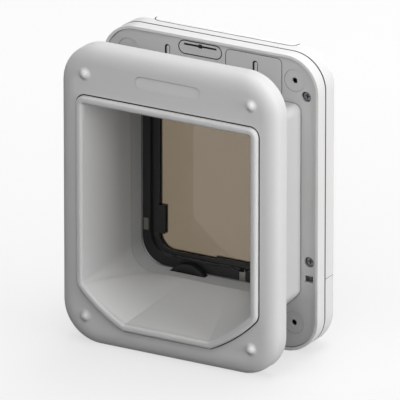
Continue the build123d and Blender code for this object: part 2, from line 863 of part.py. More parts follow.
# Latch bolt: a fork whose fingers rise before and behind the flap, on a stem in the solenoid
with BuildPart() as latch_bolt:
    with BuildSketch(level(latch_top)):
        with Locations((latch_x, (latch_front + latch_back) / 2)):
            Rectangle(latch_width, latch_back - latch_front)
    extrude(amount=latch_blade_bottom - latch_top)
    with BuildSketch(level(latch_top)):
        with Locations((latch_x, (flap_front + flap_back) / 2)):
            Rectangle(latch_width, flap_thickness + 2 * latch_gap)
    extrude(amount=-latch_finger_height, mode=Mode.SUBTRACT)
    with BuildSketch(level(latch_blade_bottom)):
        with Locations((latch_x, stem_depth)):
            Rectangle(latch_stem_width, latch_stem_thickness)
    extrude(amount=latch_stem_bottom - latch_blade_bottom)
save(latch_bolt, "latch_bolt")

# Solenoid that lifts the bolt: a yoke with its winding bulging on both sides
with BuildPart() as latch_solenoid:
    with BuildSketch(level(solenoid_bottom)):
        with Locations((latch_x, solenoid_front + solenoid_depth / 2)):
            Rectangle(solenoid_width, solenoid_depth)
    extrude(amount=solenoid_top - solenoid_bottom)
    with BuildSketch(level((solenoid_top + solenoid_bottom) / 2)):
        with Locations((latch_x, solenoid_front + solenoid_depth / 2)):
            Rectangle(solenoid_width + 2 * coil_window_proud, solenoid_depth - 3)
    extrude(amount=coil_window_height / 2, both=True)
    with BuildSketch(level(solenoid_top)):
        with Locations((latch_x, stem_depth)):
            Rectangle(latch_stem_width + 2 * solenoid_bore_gap,
                      latch_stem_thickness + 2 * solenoid_bore_gap)
    extrude(amount=latch_stem_bottom - 2 - solenoid_top, mode=Mode.SUBTRACT)
save(latch_solenoid, "latch_solenoid")

# Lock wheel: a disc with one side cut off, so that half a turn takes it below the sill
with BuildPart() as lock_wheel:
    with BuildSketch(facing(wheel_front)):
        with Locations((wheel_x, wheel_z)):
            Circle(wheel_radius)
        with Locations((wheel_x, wheel_z - wheel_flat - wheel_radius)):
            Rectangle(2 * wheel_radius, 2 * wheel_radius, mode=Mode.SUBTRACT)
    extrude(amount=-wheel_thickness)
    for recess_face, way in ((wheel_front, -1), (wheel_front + wheel_thickness, 1)):
        with BuildSketch(facing(recess_face)):
            with Locations((wheel_x, wheel_z)):
                Circle(wheel_rib_radius)
            with Locations((wheel_x, wheel_z - wheel_flat / 2 - wheel_radius)):
                Rectangle(2 * wheel_radius, 2 * wheel_radius, mode=Mode.SUBTRACT)
            with Locations((wheel_x, wheel_z)):
                Circle(wheel_hub_radius, mode=Mode.SUBTRACT)
        extrude(amount=way * wheel_recess, mode=Mode.SUBTRACT)
    with BuildSketch(facing(wheel_front)):
        with Locations((wheel_x, wheel_z)):
            Circle(lock_shaft_radius)
    extrude(amount=-wheel_thickness, mode=Mode.SUBTRACT)
save(lock_wheel, "lock_wheel")

# Spindle from the lock wheel to the knob indoors
with BuildPart() as lock_spindle:
    with BuildSketch(facing(wheel_front)):
        with Locations((wheel_x, wheel_z)):
            Circle(lock_shaft_radius)
    extrude(amount=-(cover_inner_back - wheel_front))
save(lock_spindle, "lock_spindle")

# Four-way knob with a grip bar
with BuildPart() as lock_knob:
    with BuildSketch(facing(cover_inner_back)):
        with Locations((wheel_x, wheel_z)):
            Circle(knob_seat_radius)
    extrude(amount=-(cover_wall + spindle_gap))
    with BuildSketch(facing(unit_back + spindle_gap)):
        with Locations((wheel_x, wheel_z)):
            Circle(knob_radius)
    extrude(amount=-knob_base)
    with BuildSketch(facing(unit_back + spindle_gap + knob_base)):
        with Locations((wheel_x, wheel_z)):
            SlotOverall(2 * (knob_radius - knob_grip_inset), knob_grip_width, rotation=90)
    extrude(amount=-(knob_stands_out - spindle_gap - knob_base))
save(lock_knob, "lock_knob")

# Reader coil wound round the sleeve behind the plate
with BuildPart() as reader_coil:
    with BuildSketch(facing(plate_back + coil_front_gap)):
        add(mouth(coil_gap - sleeve_inset + coil_thickness))
        add(mouth(coil_gap - sleeve_inset), mode=Mode.SUBTRACT)
    extrude(amount=-coil_depth)
save(reader_coil, "reader_coil")


def cover_shell():
    """The whole indoor cover before it is parted: a rounded shell with a tunnel through it."""
    with BuildPart() as hollow:
        with BuildSketch(facing(cover_front)):
            add(unit_outline(-cover_wall))
        extrude(amount=-(cover_inner_back - cover_front))
        fillet(hollow.faces().sort_by(Axis.Y)[-1].edges(), radius=cover_edge_radius - cover_wall)
    with BuildPart() as shell:
        with BuildSketch(facing(cover_front)):
            add(unit_outline())
        extrude(amount=-(unit_back - cover_front))
        fillet(shell.faces().sort_by(Axis.Y)[-1].edges(), radius=cover_edge_radius)
        add(hollow.part, mode=Mode.SUBTRACT)
        with BuildSketch(facing(surround_back)):
            add(cover_tunnel_outline(cover_tunnel_wall))
        extrude(amount=-(cover_inner_back - surround_back))
        with BuildSketch(facing(band_end - tongue_length)):
            add(unit_outline(-band_wall - tongue_gap))
            add(unit_outline(-band_wall - tongue_gap - tongue_wall), mode=Mode.SUBTRACT)
        extrude(amount=-(tongue_length + seam_gap + tongue_root))
        with BuildSketch(facing(cover_front)):
            add(unit_outline(-cover_wall / 2))
            add(unit_outline(-band_wall - tongue_gap - tongue_wall), mode=Mode.SUBTRACT)
        extrude(amount=-tongue_root)
        with BuildSketch(facing(cover_front - tongue_length)):
            add(cover_tunnel_outline())
        extrude(amount=-(unit_back + tongue_length - cover_front), mode=Mode.SUBTRACT)
        rear_mouth = shell.faces().sort_by(Axis.Y)[-1].inner_wires()[0]
        fillet(rear_mouth.edges(), radius=cover_mouth_radius)
    return shell.part


whole_cover = cover_shell()
post_start = plate_back + screw_boss_length + cover_post_gap

# Battery lid's outline seen from above, with round front corners
with BuildPart() as lid_region:
    with BuildSketch(level(lid_bottom)):
        with Locations((0, lid_front + unit_width / 4)):
            RectangleRounded(2 * lid_half_width, unit_width / 2, lid_corner)
    extrude(amount=unit_height)

# Indoor cover: the shell above the split, open for the battery lid
with BuildPart() as indoor_cover:
    add(whole_cover)
    with BuildSketch(facing(post_start)):
        with Locations(screw_places()):
            Circle(cover_post_radius)
    extrude(amount=-(cover_inner_back + cover_wall / 2 - post_start))
    with BuildSketch(facing(post_start)):
        with Locations(screw_places()):
            Circle(screw_radius + thread_gap)
    extrude(amount=-screw_length, mode=Mode.SUBTRACT)
    add(lid_region.part, mode=Mode.SUBTRACT)
    split(bisect_by=Plane(origin=(0, 0, middle_z + cover_split_z + cover_split_gap / 2),
                          z_dir=(0, 0, 1)), keep=Keep.TOP)
save(indoor_cover, "indoor_cover")

# Lower cover: the rest of the shell, with the knob, the button and the lamp in its face
with BuildPart() as lower_cover:
    add(whole_cover)
    split(bisect_by=Plane(origin=(0, 0, middle_z + cover_split_z - cover_split_gap / 2),
                          z_dir=(0, 0, 1)), keep=Keep.BOTTOM)
    board_mid_x = (board_left + board_right) / 2
    board_mid_z = (board_top + board_bottom) / 2
    board_holes_x = board_right - board_left - 2 * board_hole_inset
    board_holes_z = board_height - 2 * board_hole_inset
    board_back = board_front + board_thickness
    with BuildSketch(facing(board_back + contact_gap)):
        with Locations((board_mid_x, board_mid_z)):
            with GridLocations(board_holes_x, board_holes_z, 2, 2):
                Circle(board_post_radius)
    extrude(amount=-(cover_inner_back + cover_wall / 2 - board_back - contact_gap))
    with BuildSketch(facing(cover_inner_back)):
        with Locations((wheel_x, wheel_z)):
            Circle(knob_seat_radius + button_gap)
        with Locations((button_x, button_z)):
            Circle(button_radius + button_gap)
        with Locations((lens_x, button_z)):
            Circle(lens_radius + lens_fit)
    extrude(amount=-cover_wall, mode=Mode.SUBTRACT)
    with BuildSketch(level(flap_bottom)):
        with Locations((latch_x, stem_depth)):
            Rectangle(latch_slot, latch_stem_thickness + 2 * latch_gap)
    extrude(amount=solenoid_top - flap_bottom, mode=Mode.SUBTRACT)
save(lower_cover, "lower_cover")

# Battery lid, which slides up off the cover
with BuildPart() as battery_lid:
    add(whole_cover)
    with BuildSketch(level(lid_bottom + lid_gap)):
        with Locations((0, lid_front + lid_gap + unit_width / 4)):
            RectangleRounded(2 * (lid_half_width - lid_gap), unit_width / 2,
                             lid_corner - lid_gap)
    extrude(amount=unit_height, mode=Mode.INTERSECT)
    with BuildSketch(facing(unit_back)):
        with Locations((0, lid_grip_z)):
            SlotOverall(lid_grip_length, lid_grip_height)
    extrude(amount=lid_grip_depth, mode=Mode.SUBTRACT)
save(battery_lid, "battery_lid")

# Battery box, open towards the lid, seated on the upper edge of the flap surround
cell_pitch = cell_length + cell_nub_length
box_inner_half = cell_pitch + contact_gap + contact_thickness
box_bottom = mouth_top + surround_spread + box_seat_gap
cell_low_z = box_bottom + box_wall + cell_gap + cell_radius
box_inner_height = cell_row_pitch + 2 * (cell_radius + cell_gap)
box_inner_back = box_back + box_wall
cell_depth = box_inner_back + cell_gap + cell_radius
with BuildPart() as battery_box:
    with BuildSketch(facing(box_back)):
        with Locations((0, box_bottom + box_wall + box_inner_height / 2)):
            Rectangle(2 * (box_inner_half + box_wall), box_inner_height + 2 * box_wall)
    extrude(amount=-box_depth)
    with BuildSketch(facing(box_inner_back)):
        with Locations((0, box_bottom + box_wall + box_inner_height / 2)):
            Rectangle(2 * box_inner_half, box_inner_height)
    extrude(amount=-box_depth, mode=Mode.SUBTRACT)
save(battery_box, "battery_box")

# Four cells, two in each row, the rows facing opposite ways
for row_name, row, way in (("lower", 0, 1), ("upper", 1, -1)):
    row_z = cell_low_z + row * cell_row_pitch
    for end_name, end in (("a", -1), ("b", 0)):
        cell_start = way * end * cell_pitch
        with BuildPart() as cell:
            with BuildSketch(across(cell_start)):
                with Locations((cell_depth, row_z)):
                    Circle(cell_radius)
            extrude(amount=way * cell_length)
            chamfer(cell.edges().filter_by(GeomType.CIRCLE), length=cell_edge_radius)
            with BuildSketch(across(cell_start + way * cell_length)):
                with Locations((cell_depth, row_z)):
                    Circle(cell_nub_radius)
            extrude(amount=way * cell_nub_length)
        save(cell, f"battery_{row_name}_{end_name}")

# Sprung contacts at the ends of the rows
contact_x = cell_pitch + contact_gap / 2
contact_rows = (("contact_bridge", -1, cell_low_z + cell_row_pitch / 2,
                 cell_row_pitch + contact_height),
                ("contact_plus", 1, cell_low_z, contact_height),
                ("contact_minus", 1, cell_low_z + cell_row_pitch, contact_height))
for contact_name, side, contact_z, tall in contact_rows:
    with BuildPart() as contact:
        with BuildSketch(across(side * contact_x)):
            with Locations((cell_depth, contact_z)):
                Rectangle(contact_width, tall)
        extrude(amount=side * contact_thickness)
    save(contact, contact_name)

# Circuit board with its chip and lamp, and the switch under the button
with BuildPart() as circuit_board:
    with BuildSketch(facing(board_front)):
        with Locations((board_mid_x, board_mid_z)):
            Rectangle(board_right - board_left, board_top - board_bottom)
            with GridLocations(board_holes_x, board_holes_z, 2, 2):
                Circle(board_hole_radius, mode=Mode.SUBTRACT)
    extrude(amount=-board_thickness)
    with BuildSketch(facing(board_front)):
        with Locations((board_mid_x, board_mid_z)):
            Rectangle(chip_size, chip_size)
    extrude(amount=chip_height)
    with BuildSketch(facing(board_back)):
        with Locations((lens_x, button_z)):
            Circle(led_radius)
    extrude(amount=-switch_height)
save(circuit_board, "circuit_board")

switch_back = board_back + switch_height
with BuildPart() as push_switch:
    with BuildSketch(facing(board_back)):
        with Locations((button_x, button_z)):
            Rectangle(switch_size, switch_size)
    extrude(amount=-switch_height)
save(push_switch, "push_switch")

# Push button: a cap through the cover, a flange that keeps it in and a stem to the switch
with BuildPart() as push_button:
    flange_back = cover_inner_back - button_rest_gap
    with BuildSketch(facing(flange_back)):
        with Locations((button_x, button_z)):
            Circle(button_flange_radius)
    extrude(amount=button_flange_thickness)
    with BuildSketch(facing(flange_back)):
        with Locations((button_x, button_z)):
            Circle(button_radius)
    extrude(amount=-(unit_back + button_stands_out - flange_back))
    with BuildSketch(facing(flange_back - button_flange_thickness)):
        with Locations((button_x, button_z)):
            Circle(button_stem_radius)
    extrude(amount=flange_back - button_flange_thickness - switch_back - button_travel
            - button_stem_gap)
save(push_button, "push_button")

# Indicator lens in front of the lamp
with BuildPart() as indicator_lens:
    with BuildSketch(facing(cover_inner_back - lens_flange_thickness)):
        with Locations((lens_x, button_z)):
            Circle(lens_flange_radius)
    extrude(amount=-lens_flange_thickness)
    with BuildSketch(facing(cover_inner_back)):
        with Locations((lens_x, button_z)):
            Circle(lens_radius)
    extrude(amount=-(cover_wall + lens_stands_out))
save(indicator_lens, "indicator_lens")
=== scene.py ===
# %% [markdown]
# # A cat flap in a studio
#
# The object is an electronic cat flap that lines its own way through a door. Its outdoor half is
# a grey moulded frame with a flared tunnel, its indoor half is a white unit with the flap in it.
# The measured solids come in as a fixed frame, and this file gives them their finishes, the small
# parts that only the eye needs, a floor, lights and a camera.

# %% Load the measured frame
import json
import bpy
import numpy as np
from mathutils import Matrix, Vector


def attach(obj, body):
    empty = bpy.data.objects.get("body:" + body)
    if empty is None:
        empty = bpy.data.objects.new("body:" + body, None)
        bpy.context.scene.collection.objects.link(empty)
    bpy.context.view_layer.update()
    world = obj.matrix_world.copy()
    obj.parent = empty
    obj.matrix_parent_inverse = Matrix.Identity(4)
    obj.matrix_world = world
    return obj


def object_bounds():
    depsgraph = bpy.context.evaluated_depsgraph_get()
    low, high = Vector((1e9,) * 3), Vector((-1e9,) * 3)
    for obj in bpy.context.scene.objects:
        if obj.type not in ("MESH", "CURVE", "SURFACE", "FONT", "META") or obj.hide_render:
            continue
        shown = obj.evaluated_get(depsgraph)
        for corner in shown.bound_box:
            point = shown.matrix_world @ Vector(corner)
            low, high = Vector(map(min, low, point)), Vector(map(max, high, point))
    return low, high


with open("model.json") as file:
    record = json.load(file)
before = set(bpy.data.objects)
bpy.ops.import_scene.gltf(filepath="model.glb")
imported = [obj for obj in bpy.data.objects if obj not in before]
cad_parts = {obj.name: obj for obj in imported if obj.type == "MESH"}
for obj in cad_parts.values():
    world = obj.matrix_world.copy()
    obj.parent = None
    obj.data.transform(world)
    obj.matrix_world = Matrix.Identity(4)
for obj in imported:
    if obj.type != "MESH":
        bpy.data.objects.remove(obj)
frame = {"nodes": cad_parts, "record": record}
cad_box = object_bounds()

nodes = frame["nodes"]

# %% [markdown]
# ## Units and colours
#
# Everything is in metres, while a maker thinks in millimetres, so one value turns one into the
# other. Colours are written as the hex values that a paint chart shows. Those are bent for screens,
# so one function straightens them into the linear light that a renderer adds up.

# %% Millimetres and linear colour
MM = 0.001


def linear(code):
    """Each hex pair over 255, then (v + 0.055) / 1.055 to the power 2.4, or v / 12.92 when dark."""
    channels = np.array([int(code[i:i + 2], 16) for i in (1, 3, 5)]) / 255
    bent = ((channels + 0.055) / 1.055) ** 2.4
    return (*np.where(channels <= 0.04045, channels / 12.92, bent).tolist(), 1.0)


print("mid grey", [round(v, 3) for v in linear("#808080")])

# %% [markdown]
# ## One helper for nodes
#
# A finish in Blender is a small graph. Every node is added the same way: its kind, the values of
# its sockets, the links that feed it, and its own options. One function says that once, and the
# graphs below stay readable.

# %% Add one node
def add(tree, kind, values=None, links=None, **options):
    """Adds a node, sets its options and its sockets' values, then links outputs to its sockets."""
    node = tree.nodes.new("ShaderNode" + kind)
    for name, value in options.items():
        setattr(node, name, value)
    for socket, value in (values or {}).items():
        node.inputs[socket].default_value = value
    for socket, source in (links or {}).items():
        tree.links.new(source, node.inputs[socket])
    return node


def new_finish(name):
    """A material with an empty graph, its Object coordinates in metres, and its output."""
    finish = bpy.data.materials.new(name)
    finish.use_nodes = True
    tree = finish.node_tree
    tree.nodes.clear()
    place = add(tree, "TexCoord").outputs["Object"]
    return finish, tree, place


def close_finish(tree, shader):
    """Sends the finished shader to the output."""
    add(tree, "OutputMaterial", links={"Surface": shader.outputs[0]})
    print("finish with", len(tree.nodes), "nodes")


finishes = {}

# %% [markdown]
# ## Moulded ABS
#
# The frames, the tunnel, the cover and the black flap are taken as ABS, the usual plastic for such
# housings, shot into a steel mould. Such a mould is spark-eroded, which leaves a fine satin grain
# on the plastic, and the melt leaves faint differences in tone along its flow. A real grain is
# about 0.15 mm across. That is far finer than the picture can show, so it is drawn at 0.7 mm, with
# its real depth of about 10 micrometres. The gloss varies a little in patches of 9 mm.
# A Bevel node rounds the shading of every edge by 0.2 mm, as a real mould does. The grooves, the
# seams and the foot of each rim are darker than these lamps alone make them, so shade is painted
# there: an Ambient Occlusion node tells how closed in a point is within 1.8 mm, and the tone is
# darkened there. This painted shade is not a paint or a dirt that the real unit is known to have.

# %% A family of moulded ABS finishes
GRAIN = 0.7 * MM
GRAIN_DEPTH = 0.010 * MM
FLOW = 55 * MM
ABS_IOR = 1.53
PATCH = 9 * MM
SHADE_REACH = 1.8 * MM
PAINTED_SHADE_TONE = "#454442"
SHADE_FULL_AO, SHADE_NONE_AO = 0.26, 0.84


def moulded_abs(name, base, flow_tone, roughness, spread, edge=0.2 * MM, painted_shade=1.0):
    """Tone: base mixed with flow_tone by slow noise, then darkened as painted shade: multiplied by
    a dark tone where the point is closed in. Roughness: mapped from a middle noise. Bump: fine
    noise as height, on a normal that is rounded at the edges."""
    finish, tree, place = new_finish(name)
    flow = add(tree, "TexNoise", {"Scale": 1 / FLOW, "Detail": 2.0, "Roughness": 0.5},
               {"Vector": place})
    tone = add(tree, "Mix", {"A": linear(base), "B": linear(flow_tone)},
               {"Factor": flow.outputs["Fac"]}, data_type="RGBA")
    # Painted shade: the tone goes darker where the point is closed in.
    openness = add(tree, "AmbientOcclusion", {"Distance": SHADE_REACH}, samples=8)
    closed = add(tree, "MapRange", {"From Min": SHADE_FULL_AO, "From Max": SHADE_NONE_AO,
                                    "To Min": painted_shade, "To Max": 0.0},
                 {"Value": openness.outputs["AO"]})
    shaded_tone = add(tree, "Mix", {"B": linear(PAINTED_SHADE_TONE)},
                 {"A": tone.outputs["Result"], "Factor": closed.outputs["Result"]},
                 data_type="RGBA", blend_type="MULTIPLY")
    patch = add(tree, "TexNoise", {"Scale": 1 / PATCH, "Detail": 4.0}, {"Vector": place})
    satin = add(tree, "MapRange", {"From Min": 0.3, "From Max": 0.7, "To Min": roughness - spread,
                                   "To Max": roughness + spread}, {"Value": patch.outputs["Fac"]})
    grain = add(tree, "TexNoise", {"Scale": 1 / GRAIN, "Detail": 1.0}, {"Vector": place})
    rounded = add(tree, "Bevel", {"Radius": edge}, samples=4)
    relief = add(tree, "Bump", {"Strength": 1.0, "Distance": GRAIN_DEPTH},
                 {"Height": grain.outputs["Fac"], "Normal": rounded.outputs["Normal"]})
    shader = add(tree, "BsdfPrincipled", {"IOR": ABS_IOR},
                 {"Base Color": shaded_tone.outputs["Result"], "Roughness": satin.outputs["Result"],
                  "Normal": relief.outputs["Normal"]})
    close_finish(tree, shader)
    return finish


finishes["frame_grey"] = moulded_abs("satin_grey_abs", "#cccccc", "#c9c9c9", 0.80, 0.04)
liner_finish = moulded_abs("satin_liner_abs", "#c8c8c8", "#c5c5c4", 0.64, 0.04, painted_shade=0.0)
finishes["plate_grey"] = moulded_abs("satin_plate_abs", "#c2c2c2", "#bfbfbe", 0.60, 0.04)
finishes["cover_white"] = moulded_abs("semi_gloss_white_abs", "#d8d8d7", "#d6d6d5", 0.42, 0.04)
finishes["black_abs"] = moulded_abs("satin_black_abs", "#0a0a0a", "#0e0e0e", 0.48, 0.06)

# %% [markdown]
# ## Smoked polycarbonate window
#
# The window is a polished sheet of polycarbonate with a brown dye in it. Light crosses it with
# little scatter, so it is full transmission with the dye's colour and the IOR of polycarbonate,
# 1.58. Handling leaves the faintest uneven haze, which a slow noise gives the roughness.

# %% Smoked window
HAZE = 18 * MM
POLYCARBONATE_IOR = 1.58
finish, tree, place = new_finish("smoked_polycarbonate")
haze = add(tree, "TexNoise", {"Scale": 1 / HAZE, "Detail": 3.0}, {"Vector": place})
polish = add(tree, "MapRange", {"To Min": 0.015, "To Max": 0.05}, {"Value": haze.outputs["Fac"]})
dye = add(tree, "Mix", {"A": linear("#827563"), "B": linear("#7e715f")},
          {"Factor": haze.outputs["Fac"]}, data_type="RGBA")
shader = add(tree, "BsdfPrincipled", {"IOR": POLYCARBONATE_IOR, "Transmission Weight": 1.0},
             {"Base Color": dye.outputs["Result"], "Roughness": polish.outputs["Result"]})
close_finish(tree, shader)
finishes["smoked_window"] = finish

# %% [markdown]
# ## Metals
#
# The small metal parts are taken as steel. Bright parts are zinc or nickel plated and brushed, so
# they have fine scratches along one way. The case screws are blackened. A metal takes its colour
# from its reflection: metallic is 1, the base colour is the reflected tint, and the IOR stays at
# its default. Scratches are noise stretched along one axis. Real ones are a few hundredths of a
# millimetre apart, and these are drawn at 0.3 mm so that they show. Recesses such as the screws'
# get painted shade: the tone is darkened nearly to black where a point is closed in.

# %% Metal finishes
SCRATCH = 0.3 * MM
METAL_EDGE = 0.15 * MM
RECESS_SHADE_TONE = "#1c1c1d"
RECESS_SHADE_FULL_AO, RECESS_SHADE_NONE_AO = 0.20, 0.85


def scratched_metal(name, tint, roughness, stretch=(1.0, 1.0, 12.0), depth=0.004 * MM):
    """Noise whose coordinates are divided along one axis gives streaks in tint, gloss and relief.
    The tint is mixed with a dark tone where the point is closed in, as painted shade."""
    finish, tree, place = new_finish(name)
    turned = add(tree, "Mapping", {"Scale": tuple(1 / s for s in stretch)}, {"Vector": place})
    streak = add(tree, "TexNoise", {"Scale": 1 / SCRATCH, "Detail": 2.0},
                 {"Vector": turned.outputs[0]})
    worn = add(tree, "MapRange", {"To Min": roughness - 0.06, "To Max": roughness + 0.08},
               {"Value": streak.outputs["Fac"]})
    deep, light = linear(tint), tuple(min(1.0, 1.08 * v) for v in linear(tint))
    tone = add(tree, "Mix", {"A": deep, "B": light}, {"Factor": streak.outputs["Fac"]},
               data_type="RGBA")
    # Painted shade: the tint goes dark where the point is closed in.
    openness = add(tree, "AmbientOcclusion", {"Distance": SHADE_REACH}, samples=8)
    closed = add(tree, "MapRange", {"From Min": RECESS_SHADE_FULL_AO, "From Max": RECESS_SHADE_NONE_AO,
                                    "To Min": 1.0, "To Max": 0.0},
                 {"Value": openness.outputs["AO"]})
    tone = add(tree, "Mix", {"B": linear(RECESS_SHADE_TONE)},
               {"A": tone.outputs["Result"], "Factor": closed.outputs["Result"]}, data_type="RGBA")
    rounded = add(tree, "Bevel", {"Radius": METAL_EDGE}, samples=4)
    relief = add(tree, "Bump", {"Distance": depth},
                 {"Height": streak.outputs["Fac"], "Normal": rounded.outputs["Normal"]})
    shader = add(tree, "BsdfPrincipled", {"Metallic": 1.0},
                 {"Base Color": tone.outputs["Result"], "Roughness": worn.outputs["Result"],
                  "Normal": relief.outputs["Normal"]})
    close_finish(tree, shader)
    return finish


finishes["bright_steel"] = scratched_metal("zinc_plated_steel", "#98948f", 0.34)
finishes["dark_screw_steel"] = scratched_metal("blackened_screw_steel", "#8b8b8e", 0.30,
                                               (1.0, 6.0, 1.0))
finishes["magnet_nickel"] = scratched_metal("nickel_plated_magnet", "#cdc8bd", 0.20)
finishes["solenoid_yoke"] = scratched_metal("zinc_plated_yoke", "#b4b6b9", 0.40)

# %% [markdown]
# ## Wound copper
#
# The reader coil and the latch's coil are enamelled copper wire. Its lacquer is a clear coat over
# the metal. Such wires lie side by side, about 0.25 mm apart, and are drawn at 0.6 mm so that they
# show when the unit is opened. A band wave along the depth gives the turns, and its height rounds
# each wire. The same wave paints the copper darker between the wires and lighter on their crests,
# as painted shade and painted highlight. At a scale of 1 the wave repeats every tenth of pi, so
# that length over the pitch is its scale.

# %% Enamelled copper
WIRE_PITCH = 0.6 * MM
WAVE_PERIOD = np.pi / 10
finish, tree, place = new_finish("enamelled_copper_wire")
turns = add(tree, "TexWave", {"Scale": WAVE_PERIOD / WIRE_PITCH, "Distortion": 0.4, "Detail": 1.0},
            {"Vector": place}, bands_direction="Y")
# Painted shade between the turns and painted highlight on their crests.
tone = add(tree, "Mix", {"A": linear("#8a4a26"), "B": linear("#d98d57")},
           {"Factor": turns.outputs["Fac"]}, data_type="RGBA")
relief = add(tree, "Bump", {"Distance": 0.1 * MM}, {"Height": turns.outputs["Fac"]})
shader = add(tree, "BsdfPrincipled", {"Metallic": 1.0, "Roughness": 0.3, "Coat Weight": 0.6,
                                      "Coat Roughness": 0.1},
             {"Base Color": tone.outputs["Result"], "Normal": relief.outputs["Normal"]})
close_finish(tree, shader)
finishes["copper_winding"] = finish

# %% [markdown]
# ## Circuit board, cells and lens
#
# The board is glass fibre under a green solder mask, with copper tracks that stand up faintly
# under it. The joints of a brick pattern give the tracks, 0.35 mm wide in rows of 2.5 mm. The cells
# wear a printed steel jacket: graphite, with a paler band near the end. The lens is clear red
# acrylic. None of them is in the photo, so they are of the usual kind.

# %% Board, cell and lens finishes
TRACK_LENGTH, TRACK_ROW, TRACK_EDGE = 7 * MM, 2.5 * MM, 0.35 * MM
finish, tree, place = new_finish("solder_masked_board")
upright = add(tree, "Mapping", {"Rotation": (np.pi / 2, 0.0, 0.0)}, {"Vector": place})
tracks = add(tree, "TexBrick", {"Scale": 1.0, "Brick Width": TRACK_LENGTH,
                                "Row Height": TRACK_ROW, "Mortar Size": TRACK_EDGE,
                                "Mortar Smooth": 0.3,
                                "Color1": linear("#1c5a34"), "Color2": linear("#1e6239"),
                                "Mortar": linear("#3f8a55")}, {"Vector": upright.outputs[0]})
relief = add(tree, "Bump", {"Distance": 0.03 * MM}, {"Height": tracks.outputs["Fac"]})
shader = add(tree, "BsdfPrincipled", {"Roughness": 0.32, "IOR": 1.5},
             {"Base Color": tracks.outputs["Color"], "Normal": relief.outputs["Normal"]})
close_finish(tree, shader)
finishes["board_green"] = finish

CELL_PITCH, SCUFF = 52 * MM, 3 * MM
finish, tree, place = new_finish("printed_cell_jacket")
along = add(tree, "SeparateXYZ", links={"Vector": place})
step = add(tree, "Math", {1: CELL_PITCH}, {0: along.outputs["X"]}, operation="PINGPONG")
share = add(tree, "Math", {1: 1 / CELL_PITCH}, {0: step.outputs[0]}, operation="MULTIPLY")
bands = add(tree, "ValToRGB", links={"Fac": share.outputs[0]})
ramp = bands.color_ramp
ramp.interpolation = "CONSTANT"
for position, code in ((0.0, "#2c3036"), (0.62, "#b98a4c"), (0.92, "#c9c6c0")):
    stop = ramp.elements[0] if position == 0.0 else ramp.elements.new(position)
    stop.position = position
    stop.color = linear(code)
ramp.elements.remove(ramp.elements[len(ramp.elements) - 1])
scuff = add(tree, "TexNoise", {"Scale": 1 / SCUFF, "Detail": 4.0}, {"Vector": place})
gloss = add(tree, "MapRange", {"To Min": 0.18, "To Max": 0.34}, {"Value": scuff.outputs["Fac"]})
shader = add(tree, "BsdfPrincipled", {"Metallic": 0.6},
             {"Base Color": bands.outputs["Color"], "Roughness": gloss.outputs["Result"]})
close_finish(tree, shader)
finishes["cell_jacket"] = finish

CLOUD = 2 * MM
ACRYLIC_IOR = 1.49
finish, tree, place = new_finish("red_acrylic_lens")
cloud = add(tree, "TexNoise", {"Scale": 1 / CLOUD}, {"Vector": place})
tone = add(tree, "Mix", {"A": linear("#b01414"), "B": linear("#c41a18")},
           {"Factor": cloud.outputs["Fac"]}, data_type="RGBA")
shader = add(tree, "BsdfPrincipled", {"IOR": ACRYLIC_IOR, "Transmission Weight": 0.5,
                                      "Roughness": 0.12}, {"Base Color": tone.outputs["Result"]})
close_finish(tree, shader)
finishes["lens_red"] = finish

# %% [markdown]
# ## Dress the measured parts
#
# The record says which slot each node takes its finish from, so the finishes are handed out by
# that list. A node keeps its mesh and its place, and only its material slots change. The liner is
# the same grey ABS as the frame, without the painted shade in its grooves: its solid has a ledge
# behind the lip, and the painted shade drew a dark line there that the real tunnel doesn't have.

# %% Hand out the finishes
for part in frame["record"]["subparts"]:
    target = nodes[part["node"]]
    target.data.materials.clear()
    is_liner = part["node"] == "tunnel_liner"
    target.data.materials.append(liner_finish if is_liner else finishes[part["material_slot"]])

# %% [markdown]
# ## Surfaces from two parameters
#
# Most of the small parts that follow are one kind of surface: a closed outline in the XZ plane, and
# a closed section that is carried along it. Each point of the grid is a point of the outline, moved
# out along the outline's normal by the section's width and back along Y by its depth. numpy works
# out the whole grid at once, which is quicker and clearer than placing points one by one.

# %% Outline, section and sweep
MIDDLE_Z = 127 * MM
FACE_Y = -50 * MM


def rounded_outline(half_width, low, high, radius, per_corner=12):
    """Corner centre + radius x (cos a, sin a) over a quarter turn each, and the same normals."""
    angle = np.linspace(0.0, np.pi / 2, per_corner)[None, :] + (np.arange(4) * np.pi / 2)[:, None]
    side = np.array([1, -1, -1, 1])[:, None] * (half_width - radius)
    rise = np.array([high - radius, high - radius, low + radius, low + radius])[:, None]
    normals = np.stack([np.cos(angle), np.sin(angle)], axis=-1)
    points = np.stack([side + 0 * angle, rise + 0 * angle], axis=-1) + radius * normals
    return points.reshape(-1, 2), normals.reshape(-1, 2)


def mesh_piece(name, points, faces, body, slot_name):
    """Puts points and faces into a smooth mesh with its finish, and rides it on its body. The sum
    of a . (b x c) over the triangles is six volumes, and below zero the faces are turned round."""
    mesh = bpy.data.meshes.new(name)
    mesh.from_pydata(points.tolist(), [], [list(face) for face in faces])
    mesh.polygons.foreach_set("use_smooth", np.ones(len(mesh.polygons), dtype=bool))
    mesh.materials.append(finishes[slot_name])
    mesh.update()
    mesh.calc_loop_triangles()
    picks = np.empty(3 * len(mesh.loop_triangles), dtype=int)
    mesh.loop_triangles.foreach_get("vertices", picks)
    a, b, c = (points[picks.reshape(-1, 3)[:, n]] for n in range(3))
    if np.sum(a * np.cross(b, c)) < 0:
        mesh.flip_normals()
    piece = bpy.data.objects.new(name, mesh)
    bpy.context.scene.collection.objects.link(piece)
    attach(piece, body)
    print("piece", name, len(mesh.vertices), "points,", len(mesh.polygons), "faces")
    return piece


def grid_quads(rows, columns):
    """Quads of a grid that closes on itself both ways, each row's end joined to its start."""
    i, j = np.meshgrid(np.arange(rows), np.arange(columns), indexing="ij")
    after, above = (i + 1) % rows, (j + 1) % columns
    corners = [i * columns + j, i * columns + above, after * columns + above, after * columns + j]
    return np.stack(corners, axis=-1).reshape(-1, 4)


